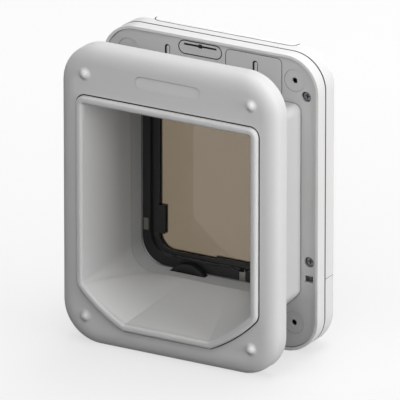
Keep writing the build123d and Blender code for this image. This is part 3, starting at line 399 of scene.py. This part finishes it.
def swept_points(outline, normals, section, shift_x=0.0):
    """For each outline point (x, z) with normal (nx, nz) and each section point (w, depth):
    (x + nx w + shift, face + depth, middle + z + nz w)."""
    w, depth = section[:, 0][None, :], section[:, 1][None, :]
    x = outline[:, 0][:, None] + normals[:, 0][:, None] * w + shift_x
    z = outline[:, 1][:, None] + normals[:, 1][:, None] * w + MIDDLE_Z
    return np.stack([x, FACE_Y + depth + 0 * x, z], axis=-1).reshape(-1, 3)


print("a rounded outline has", len(rounded_outline(10 * MM, 0.0, 20 * MM, 3 * MM)[0]), "points")

# %% [markdown]
# ## Painted shade: a black strip in the slot round the cover
#
# Where the white band meets the cover there is a slot 1 mm wide all round, and its shade reads as
# a crisp dark line. Here a thin black strip lies in it as painted shade, which gives the same line
# from every side. Its section is a T: the stem sits in the slot, and the head, 1.5 mm wide and an
# eighth of a millimetre thick, lies on both edges. It is carried along an outline with the unit's
# own round corners.

# %% Seam gasket
UNIT_HALF, UNIT_LOW, UNIT_HIGH, UNIT_CORNER = 99.5 * MM, -127 * MM, 124 * MM, 29.5 * MM
SEAM_FRONT, SEAM_REAR = 79.5 * MM, 80.5 * MM
SHADE_STRIP_CLEAR, STEM_FOOT = 0.06 * MM, -2.6 * MM
HEAD_SIDE, HEAD_FOOT, HEAD_TOP = 0.25 * MM, 0.02 * MM, 0.14 * MM
SHOULDER, SHOULDER_IN, TOP_IN = 0.8 * HEAD_TOP, 0.05 * MM, 0.3 * MM
outline, normals = rounded_outline(UNIT_HALF, UNIT_LOW + HEAD_TOP, UNIT_HIGH, UNIT_CORNER, 24)
stem_front, stem_rear = SEAM_FRONT + SHADE_STRIP_CLEAR, SEAM_REAR - SHADE_STRIP_CLEAR
head_front, head_rear = SEAM_FRONT - HEAD_SIDE, SEAM_REAR + HEAD_SIDE
section = np.array([(STEM_FOOT, stem_rear), (STEM_FOOT, stem_front), (HEAD_FOOT, stem_front),
                    (HEAD_FOOT, head_front), (SHOULDER, head_front + SHOULDER_IN),
                    (HEAD_TOP, head_front + TOP_IN), (HEAD_TOP, head_rear - TOP_IN),
                    (SHOULDER, head_rear - SHOULDER_IN), (HEAD_FOOT, head_rear),
                    (HEAD_FOOT, stem_rear)])[::-1]
# Painted shade: a black strip that draws the slot's shadow line.
mesh_piece("seam_shade_strip", swept_points(outline, normals, section),
           grid_quads(len(outline), len(section)), "indoor_unit", "black_abs")

# %% [markdown]
# ## Painted shade along the lid's edge
#
# The battery lid's front edge shows on the unit's top as a thin dark line with round ends, the
# shade of the gap at its edge. Here a flat black strip on the lid draws it as painted shade. It is
# an open path, straight with a quarter turn at each end, and a small flat section is carried along
# it on the top face. Each end is closed by one face.

# %% Lid seal
LID_HALF, LID_FRONT, LID_TURN, LID_REAR = 66 * MM, 89.4 * MM, 7 * MM, 97 * MM
turn_angle = np.linspace(np.pi, 1.5 * np.pi, 10)
left = np.stack([-LID_HALF + LID_TURN + LID_TURN * np.cos(turn_angle),
                 LID_FRONT + LID_TURN + LID_TURN * np.sin(turn_angle)], axis=1)
path = np.concatenate([[[-LID_HALF, LID_REAR]], left, left[::-1] * [-1, 1], [[LID_HALF, LID_REAR]]])
along = np.gradient(path, axis=0)
along /= np.linalg.norm(along, axis=1)[:, None]
aside = np.stack([along[:, 1], -along[:, 0]], axis=1)
strip = np.array([(-0.5, 0.02), (0.5, 0.02), (0.42, 0.10), (0.0, 0.13), (-0.42, 0.10)]) * MM
flat = path[:, None, :] + aside[:, None, :] * strip[None, :, :1]
rise = np.broadcast_to(MIDDLE_Z + UNIT_HIGH + strip[:, 1], flat.shape[:2])
lid_points = np.stack([flat[..., 0], FACE_Y + flat[..., 1], rise], axis=-1).reshape(-1, 3)
ring = len(strip)
lid_faces = grid_quads(len(path), ring)[:-ring].tolist()
lid_faces += [list(range(ring))[::-1], list(range(len(lid_points) - ring, len(lid_points)))]
# Painted shade: a black strip along the lid's front edge.
mesh_piece("lid_edge_shade_strip", lid_points, lid_faces, "lid", "black_abs")

# %% [markdown]
# ## Plugs in the two key slots, and a vent strip
#
# The plate has two upright slots near its top, each closed by a knock-out plug with a gap round
# itself, widest on the left. A plug is a filled form, not a ring: its outline is drawn in towards
# its centre at the front and at the back, where it closes in one point. The gap round each plug and
# the slit of the vent are nearly black with shade, so a black backing behind each plug and a black
# strip in the slit stand there as painted shade. Neither is a known part of the real unit. The
# strip's outline is a long plus, as the slit's is. A radius just short of half the width keeps the
# ends of two arcs from falling on one point.

# %% Filled form and key slot plugs
def filled_form(outline, profile):
    """Centre + scale x (outline point - centre), at each (scale, depth) of the profile. The ends
    of the profile close in a pole each."""
    centre = outline.mean(axis=0)
    scale, depth = profile[:, 0][None, :, None], profile[:, 1]
    flat = centre + scale * (outline[:, None, :] - centre)
    depths = np.broadcast_to(depth, flat.shape[:2])
    grid = np.stack([flat[..., 0], FACE_Y + depths, flat[..., 1] + MIDDLE_Z], axis=-1)
    poles = [[centre[0], FACE_Y + depth[end], centre[1] + MIDDLE_Z] for end in (0, -1)]
    return np.concatenate([grid.reshape(-1, 3), np.array(poles)])


def filled_faces(rows, columns):
    """Quads between neighbouring rings, and a fan of triangles round each pole."""
    i, j = np.meshgrid(np.arange(rows), np.arange(columns - 1), indexing="ij")
    after = (i + 1) % rows
    quads = np.stack([i * columns + j, i * columns + j + 1, after * columns + j + 1,
                      after * columns + j], axis=-1).reshape(-1, 4)
    ring = np.arange(rows)
    nxt = (ring + 1) % rows
    front = np.stack([ring * columns, nxt * columns, np.full(rows, rows * columns)], axis=-1)
    rear = np.stack([nxt * columns, ring * columns, np.full(rows, rows * columns + 1)], axis=-1)
    rear[:, :2] += columns - 1
    return quads.tolist() + front.tolist() + rear.tolist()


def joined(parts):
    """Several (points, faces) as one, each part's face numbers raised by the points before it."""
    points, faces, count = [], [], 0
    for part_points, part_faces in parts:
        points.append(part_points)
        faces += [[n + count for n in face] for face in part_faces]
        count += len(part_points)
    return np.concatenate(points), faces


SLOT_X, SLOT_TOP, SLOT_LENGTH, SLOT_HALF = 40.5 * MM, 113.5 * MM, 20.5 * MM, 2.5 * MM
PLUG_GAP, PLUG_SHIFT, BACKING_CLEAR = 1.15 * MM, 0.55 * MM, 0.06 * MM
JUST_ROUND = 1e-6
PLATE_FRONT, PLATE_BACK = 69.8 * MM, 72.0 * MM
plugs, shade_backings = [], []
for side in (-1, 1):
    slot, ways = rounded_outline(SLOT_HALF, SLOT_TOP - SLOT_LENGTH, SLOT_TOP,
                                 SLOT_HALF - JUST_ROUND)
    slot = slot + np.array([side * SLOT_X, 0.0])
    plug = slot - PLUG_GAP * ways + np.array([PLUG_SHIFT, 0.0])
    profile = np.array([(0.9, PLATE_FRONT + 0.15 * MM), (0.97, PLATE_FRONT + 0.20 * MM),
                        (1.0, PLATE_FRONT + 0.35 * MM), (1.0, PLATE_FRONT + 0.58 * MM),
                        (0.9, PLATE_FRONT + 0.60 * MM)])
    plugs.append((filled_form(plug, profile), filled_faces(len(plug), len(profile))))
    snug = slot - BACKING_CLEAR * ways
    profile = np.array([(0.9, PLATE_FRONT + 0.62 * MM), (1.0, PLATE_FRONT + 0.64 * MM),
                        (1.0, PLATE_BACK + 0.3 * MM), (0.9, PLATE_BACK + 0.35 * MM)])
    shade_backings.append((filled_form(snug, profile), filled_faces(len(snug), len(profile))))
plug_points, plug_faces = joined(plugs)
mesh_piece("key_slot_plugs", plug_points, plug_faces, "indoor_unit", "plate_grey")
backing_points, backing_faces = joined(shade_backings)
# Painted shade: black backings behind the plugs.
mesh_piece("key_slot_shade_backings", backing_points, backing_faces, "indoor_unit", "black_abs")

VENT_X, VENT_Z = -10.1 * MM, 116.6 * MM
SLIT_HALF, SLIT_RISE, CROSS_HALF = 14.9 * MM, 0.76 * MM, 1.6 * MM
quarter = np.array([(SLIT_HALF, SLIT_RISE), (CROSS_HALF, SLIT_RISE), (CROSS_HALF, CROSS_HALF)])
plus = np.concatenate([quarter, quarter[::-1] * [-1, 1], quarter * [-1, -1],
                       quarter[::-1] * [1, -1]])
plus = plus + np.array([VENT_X, VENT_Z])
profile = np.array([(0.97, PLATE_FRONT + 0.35 * MM), (1.0, PLATE_FRONT + 0.5 * MM),
                    (1.0, PLATE_BACK + 0.7 * MM), (0.97, PLATE_BACK + 0.8 * MM)])
# Painted shade: a black strip that fills the vent's slit.
mesh_piece("vent_slit_shade_strip", filled_form(plus, profile), filled_faces(len(plus), len(profile)),
           "indoor_unit", "black_abs")

# %% [markdown]
# ## The tunnel's outline, and a smooth run-in behind the lip
#
# The tunnel's outline is made of arcs: a large one for each slope, a small one that takes it into
# the side, and one at the top. Each arc's normals are its radii. At the lip it is wide, and 66 mm
# further in it is narrower and nearly flat below. Straight lines between equal points of the two
# outlines give the tapered wall. In the solid, the bore behind the lip is straight, so the wall
# starts with a ledge 9 mm in, which the photo doesn't have. A fairing in the liner's finish fills
# the wedge in front of that ledge, and the wall runs smoothly out to the lip. It isn't a part of
# the real unit. A narrow strip at its front and its end keeps the smooth shading flat in between.

# %% Tunnel outline and lip fairing
def arc(centre, radius, start, end, shares):
    """Centre + radius x (cos a, sin a), a running from start to end by the shares; the normals."""
    a = start + (end - start) * np.asarray(shares)
    ways = np.stack([np.cos(a), np.sin(a)], axis=1)
    return np.array(centre) + radius * ways, ways


def tunnel_outline(half, top, bottom, sill, lean, reach, small, round_top, grow=0.0):
    """The right half, arc by arc, then the same mirrored in x and read backwards. Growing keeps
    every arc's centre. A guard point beside the sill's corner keeps its shading crisp."""
    lean = np.radians(lean)
    big = np.array([sill - reach * np.sin(lean), bottom + reach * np.cos(lean)])
    foot_x = half - small
    foot_z = big[1] - np.sqrt((reach - small) ** 2 - (foot_x - big[0]) ** 2)
    turn = np.arctan2(foot_z - big[1], foot_x - big[0])
    sill_z = bottom - grow
    sill_x = big[0] + np.sqrt((reach + grow) ** 2 - (sill_z - big[1]) ** 2)
    begin = np.arctan2(sill_z - big[1], sill_x - big[0])
    even = np.linspace(0.0, 1.0, 12)
    guarded = np.concatenate([[0.0, 0.01], np.linspace(0, 1, 24)[1:]])
    parts = [(np.array([[0.99 * sill_x, sill_z]]), np.array([[0.0, -1.0]])),
             arc(big, reach + grow, begin, turn, guarded),
             arc((foot_x, foot_z), small + grow, turn, 0.0, even),
             arc((half - round_top, top - round_top), round_top + grow, 0.0, np.pi / 2, even)]
    points = np.concatenate([part[0] for part in parts])
    ways = np.concatenate([part[1] for part in parts])
    miter = ways[0] + ways[1]
    ways[1] = 2 * miter / np.sum(miter ** 2)
    flip = np.array([-1, 1])
    return np.concatenate([points, points[::-1] * flip]), np.concatenate([ways, ways[::-1] * flip])


# Half width, top, bottom, half of the sill, the slope's lean at the sill in degrees, the slope's
# radius, the radius that takes it into the side, and the radius at the top.
MOUTH = (83.7 * MM, 85 * MM, -109 * MM, 40 * MM, 24.7, 130 * MM, 10 * MM, 8 * MM)
THROAT = (72.3 * MM, 78 * MM, -82.5 * MM, 20 * MM, 0.2, 3000 * MM, 20 * MM, 8 * MM)
LIP_WIDTH, LINER_END, LEDGE_DEPTH = 6.4 * MM, 66 * MM, 9 * MM
FAIRING_CLEAR = 0.03 * MM
FRONT_STRIP, END_STRIP = (0.05, 0.12), (8.9, 8.98)
bore, ways = tunnel_outline(*MOUTH, grow=-LIP_WIDTH)
throat = tunnel_outline(*THROAT)[0]
depths = np.array([*FRONT_STRIP, *END_STRIP]) * MM
wall = bore[:, None, :] + (throat - bore)[:, None, :] * (depths / LINER_END)[None, :, None]
wall = wall - FAIRING_CLEAR * ways[:, None, :]
flat = np.concatenate([wall, bore[:, None, :], bore[:, None, :]], axis=1)
deep = np.broadcast_to(np.append(depths, [depths[-1], LEDGE_DEPTH / 2]), flat.shape[:2])
fairing = np.stack([flat[..., 0], FACE_Y + deep, flat[..., 1] + MIDDLE_Z], axis=-1)
piece = mesh_piece("lip_fairing", fairing.reshape(-1, 3), grid_quads(*flat.shape[:2]),
                   "outdoor_unit", "frame_grey")
piece.data.materials[0] = liner_finish
step = np.linalg.norm(wall[:, -1] - bore, axis=1) / MM
print("ledge that it covers, from", round(step.min(), 2), "to", round(step.max(), 2), "mm")

# %% [markdown]
# ## Painted shade in the joints
#
# The liner's lip stands in the frame's opening with half a millimetre of air, and the vent's insert
# stands in the plate the same way. Each gap is in shade, and its dark line is wider than the gap's
# own shadow here. A thin black strip that lies on the face draws that line as painted shade. It is
# no known part of the real unit, whose joints are open.

# %% Two beads
def shade_line_section(inner, outer, face, height):
    """A flat strip of painted shade on a face: foot just off the face, shoulders at 0.8 of its
    height, flat top.
    """
    lift, slope = 0.02 * MM, 0.2 * (outer - inner)
    return np.array([(inner, face - lift), (inner, face - 0.8 * height),
                     (inner + slope, face - height), (outer - slope, face - height),
                     (outer, face - 0.8 * height), (outer, face - lift)])


LIP_SHADE_IN, LIP_SHADE_OUT, LIP_SHADE_HEIGHT = 0.03 * MM, 1.0 * MM, 0.14 * MM
outline, ways = tunnel_outline(*MOUTH)
section = shade_line_section(LIP_SHADE_IN, LIP_SHADE_OUT, 0.0, LIP_SHADE_HEIGHT)
# Painted shade: a black line round the lip.
mesh_piece("lip_shade_line", swept_points(outline, ways, section),
           grid_quads(len(outline), len(section)), "outdoor_unit", "black_abs")
INSERT_HALF, INSERT_LOW, INSERT_TOP, INSERT_ROUND = 20 * MM, 108.2 * MM, 119.8 * MM, 5.8 * MM
VENT_SHADE_IN, VENT_SHADE_OUT, VENT_SHADE_HEIGHT = -0.6 * MM, 0.2 * MM, 0.10 * MM
outline, ways = rounded_outline(INSERT_HALF, INSERT_LOW, INSERT_TOP, INSERT_ROUND - JUST_ROUND, 16)
section = shade_line_section(VENT_SHADE_IN, VENT_SHADE_OUT, PLATE_FRONT, VENT_SHADE_HEIGHT)
# Painted shade: a black line round the vent's insert.
mesh_piece("vent_shade_line", swept_points(outline, ways, section, VENT_X),
           grid_quads(len(outline), len(section)), "indoor_unit", "black_abs")

# %% [markdown]
# ## Marks round the lock knob
#
# The knob indoors has four settings, a quarter turn apart. That side isn't in the photo. Each
# setting is marked by a plain black tick, pad-printed on the cover, as many such knobs have. A tick
# is the same filled form, a tenth of a millimetre thick, and it stands on the cover's face.

# %% Four printed ticks
KNOB_X, KNOB_Z = -26.1 * MM, -94.6 * MM
COVER_BACK = 101.0 * MM
TICK_REACH, TICK_HALF_LENGTH, TICK_HALF_WIDTH = 11.5 * MM, 1.6 * MM, 0.5 * MM
tick, ways = rounded_outline(TICK_HALF_LENGTH, -TICK_HALF_WIDTH, TICK_HALF_WIDTH,
                             TICK_HALF_WIDTH - JUST_ROUND, 5)
ticks = []
for quarter in range(4):
    a = quarter * np.pi / 2
    spin = np.array([[np.cos(a), np.sin(a)], [-np.sin(a), np.cos(a)]])
    placed = (tick + np.array([TICK_REACH, 0.0])) @ spin + np.array([KNOB_X, KNOB_Z])
    profile = np.array([(0.9, COVER_BACK), (1.0, COVER_BACK + 0.03 * MM),
                        (0.95, COVER_BACK + 0.10 * MM)])
    ticks.append((filled_form(placed, profile), filled_faces(len(placed), len(profile))))
tick_points, tick_faces = joined(ticks)
mesh_piece("knob_ticks", tick_points, tick_faces, "indoor_unit", "black_abs")

# %% [markdown]
# ## Floor
#
# The studio floor is a white light table: most of its white comes from inside it, so a shadow on
# it stays pale, and the rest is the lamps' light on its surface. It is one flat grid at the height
# of the lowest point, and it isn't part of the object. The photo's ground is whiter towards the
# back, so it glows more there, along a line 30 degrees off the object's depth.
# Its light is kept off the object by its ray visibility, as black flags beside a table do, so
# undersides stay dark.

# %% A flat grid for the floor
def flat_grid(name, half, divisions, height):
    """Points (u, v, height) for u and v evenly from -half to half, joined in quads."""
    line = np.linspace(-half, half, divisions + 1)
    u, v = np.meshgrid(line, line)
    points = np.stack([u, v, np.full_like(u, height)], axis=-1).reshape(-1, 3)
    row = divisions + 1
    first = (np.arange(divisions)[:, None] * row + np.arange(divisions)[None, :]).ravel()
    quads = np.stack([first, first + 1, first + row + 1, first + row], axis=1)
    mesh = bpy.data.meshes.new(name)
    mesh.from_pydata(points.tolist(), [], quads.tolist())
    thing = bpy.data.objects.new(name, mesh)
    bpy.context.scene.collection.objects.link(thing)
    return thing


GLOW_TURN = -np.pi / 6
GLOW_START, GLOW_END = -0.35, 0.65
GLOW_NEAR, GLOW_FAR = 0.565, 0.70
floor = flat_grid("studio_floor", 14.0, 8, cad_box[0][2])
finish, tree, place = new_finish("white_studio_sweep")
mottle = add(tree, "TexNoise", {"Scale": 3.0}, {"Vector": place})
tone = add(tree, "Mix", {"A": linear("#8d8d8d"), "B": linear("#8f8f8f")},
           {"Factor": mottle.outputs["Fac"]}, data_type="RGBA")
turned = add(tree, "Mapping", {"Rotation": (0.0, 0.0, GLOW_TURN)}, {"Vector": place})
depth = add(tree, "SeparateXYZ", links={"Vector": turned.outputs[0]})
glow = add(tree, "MapRange", {"From Min": GLOW_START, "From Max": GLOW_END, "To Min": GLOW_NEAR,
                              "To Max": GLOW_FAR}, {"Value": depth.outputs["Y"]})
shader = add(tree, "BsdfPrincipled", {"Roughness": 0.9, "Specular IOR Level": 0.1,
                                      "Emission Color": linear("#ffffff")},
             {"Base Color": tone.outputs["Result"], "Emission Strength": glow.outputs["Result"]})
close_finish(tree, shader)
floor.data.materials.append(finish)
floor.visible_diffuse = False

# %% [markdown]
# ## Light
#
# The picture is lit like a product shot: a soft box on the right, a large one overhead, two weaker
# ones in front, and white all round. The right side and the top of every part are bright, the left
# side and the underside stay darker. A large lamp behind lights the rear, and the soft shadow that
# it throws falls in front. The room's own light is weak, and weaker from below than from above.

# %% World and lamps
ROOM_BELOW, ROOM_ABOVE = 0.06, 0.25
world = bpy.data.worlds.new("white_room")
bpy.context.scene.world = world
world.use_nodes = True
world.node_tree.nodes.clear()
way = add(world.node_tree, "SeparateXYZ",
          links={"Vector": add(world.node_tree, "TexCoord").outputs["Generated"]})
level = add(world.node_tree, "MapRange", {"From Min": -0.4, "From Max": 0.4, "To Min": ROOM_BELOW,
                                          "To Max": ROOM_ABOVE}, {"Value": way.outputs["Z"]})
room = add(world.node_tree, "Background", {"Color": linear("#ffffff")},
           {"Strength": level.outputs["Result"]})
add(world.node_tree, "OutputWorld", links={"Surface": room.outputs[0]})

AIM = Vector((0.0, 0.0, 0.12))


def soft_box(name, direction, distance, size, watts):
    """A square lamp at AIM + direction x distance, turned so that its -Z looks at AIM."""
    lamp = bpy.data.lights.new(name, "AREA")
    lamp.shape = "SQUARE"
    lamp.size = size
    lamp.energy = watts
    holder = bpy.data.objects.new(name, lamp)
    way = Vector(direction).normalized()
    holder.location = AIM + way * distance
    holder.rotation_euler = way.to_track_quat("Z", "Y").to_euler()
    bpy.context.scene.collection.objects.link(holder)
    print("lamp", name, [round(v, 2) for v in holder.location])


soft_box("key_right", (0.90, -0.09, 0.10), 1.6, 0.9, 23)
soft_box("overhead", (0.10, 0.20, 0.97), 3.2, 2.0, 54)
soft_box("front_fill", (0.40, -0.80, 0.22), 2.0, 0.9, 7.4)
soft_box("top_front", (0.12, -0.60, 0.79), 0.95, 0.7, 3.2)
soft_box("back_fill", (-0.20, 0.95, 0.22), 4.0, 2.4, 70)

# %% [markdown]
# ## Camera
#
# The photograph is a parallel view from 30 degrees to the right of straight on and 20 degrees
# above level. A very long lens from far away gives the same picture. Its direction is written as
# two turns, its distance is given, and its lens follows from that distance and the width that the
# picture has to cover.

# %% Camera from two angles and a width
AZIMUTH, ELEVATION = np.radians(30.0), np.radians(20.0)
VIEW_WIDTH = 0.3222
DISTANCE = 9.2
SENSOR = 36.0
ACROSS, UPWARDS = 0.98 * MM, 113.79 * MM

right = Vector((np.cos(AZIMUTH), np.sin(AZIMUTH), 0.0))
back = Vector((np.sin(AZIMUTH) * np.cos(ELEVATION), -np.cos(AZIMUTH) * np.cos(ELEVATION),
               np.sin(ELEVATION)))
up = back.cross(right)
camera = bpy.data.objects.new("camera", bpy.data.cameras.new("camera"))
bpy.context.scene.collection.objects.link(camera)
camera.data.sensor_width = SENSOR
camera.data.lens = SENSOR * DISTANCE / VIEW_WIDTH
camera.data.clip_end = 100.0
spot = right * ACROSS + up * UPWARDS + back * DISTANCE
turn = Matrix((right, up, back)).transposed().to_4x4()
camera.matrix_world = Matrix.Translation(spot) @ turn
bpy.context.scene.camera = camera
bpy.context.scene.view_settings.view_transform = "Standard"
print("camera at", [round(v, 3) for v in camera.location], "lens", round(camera.data.lens))
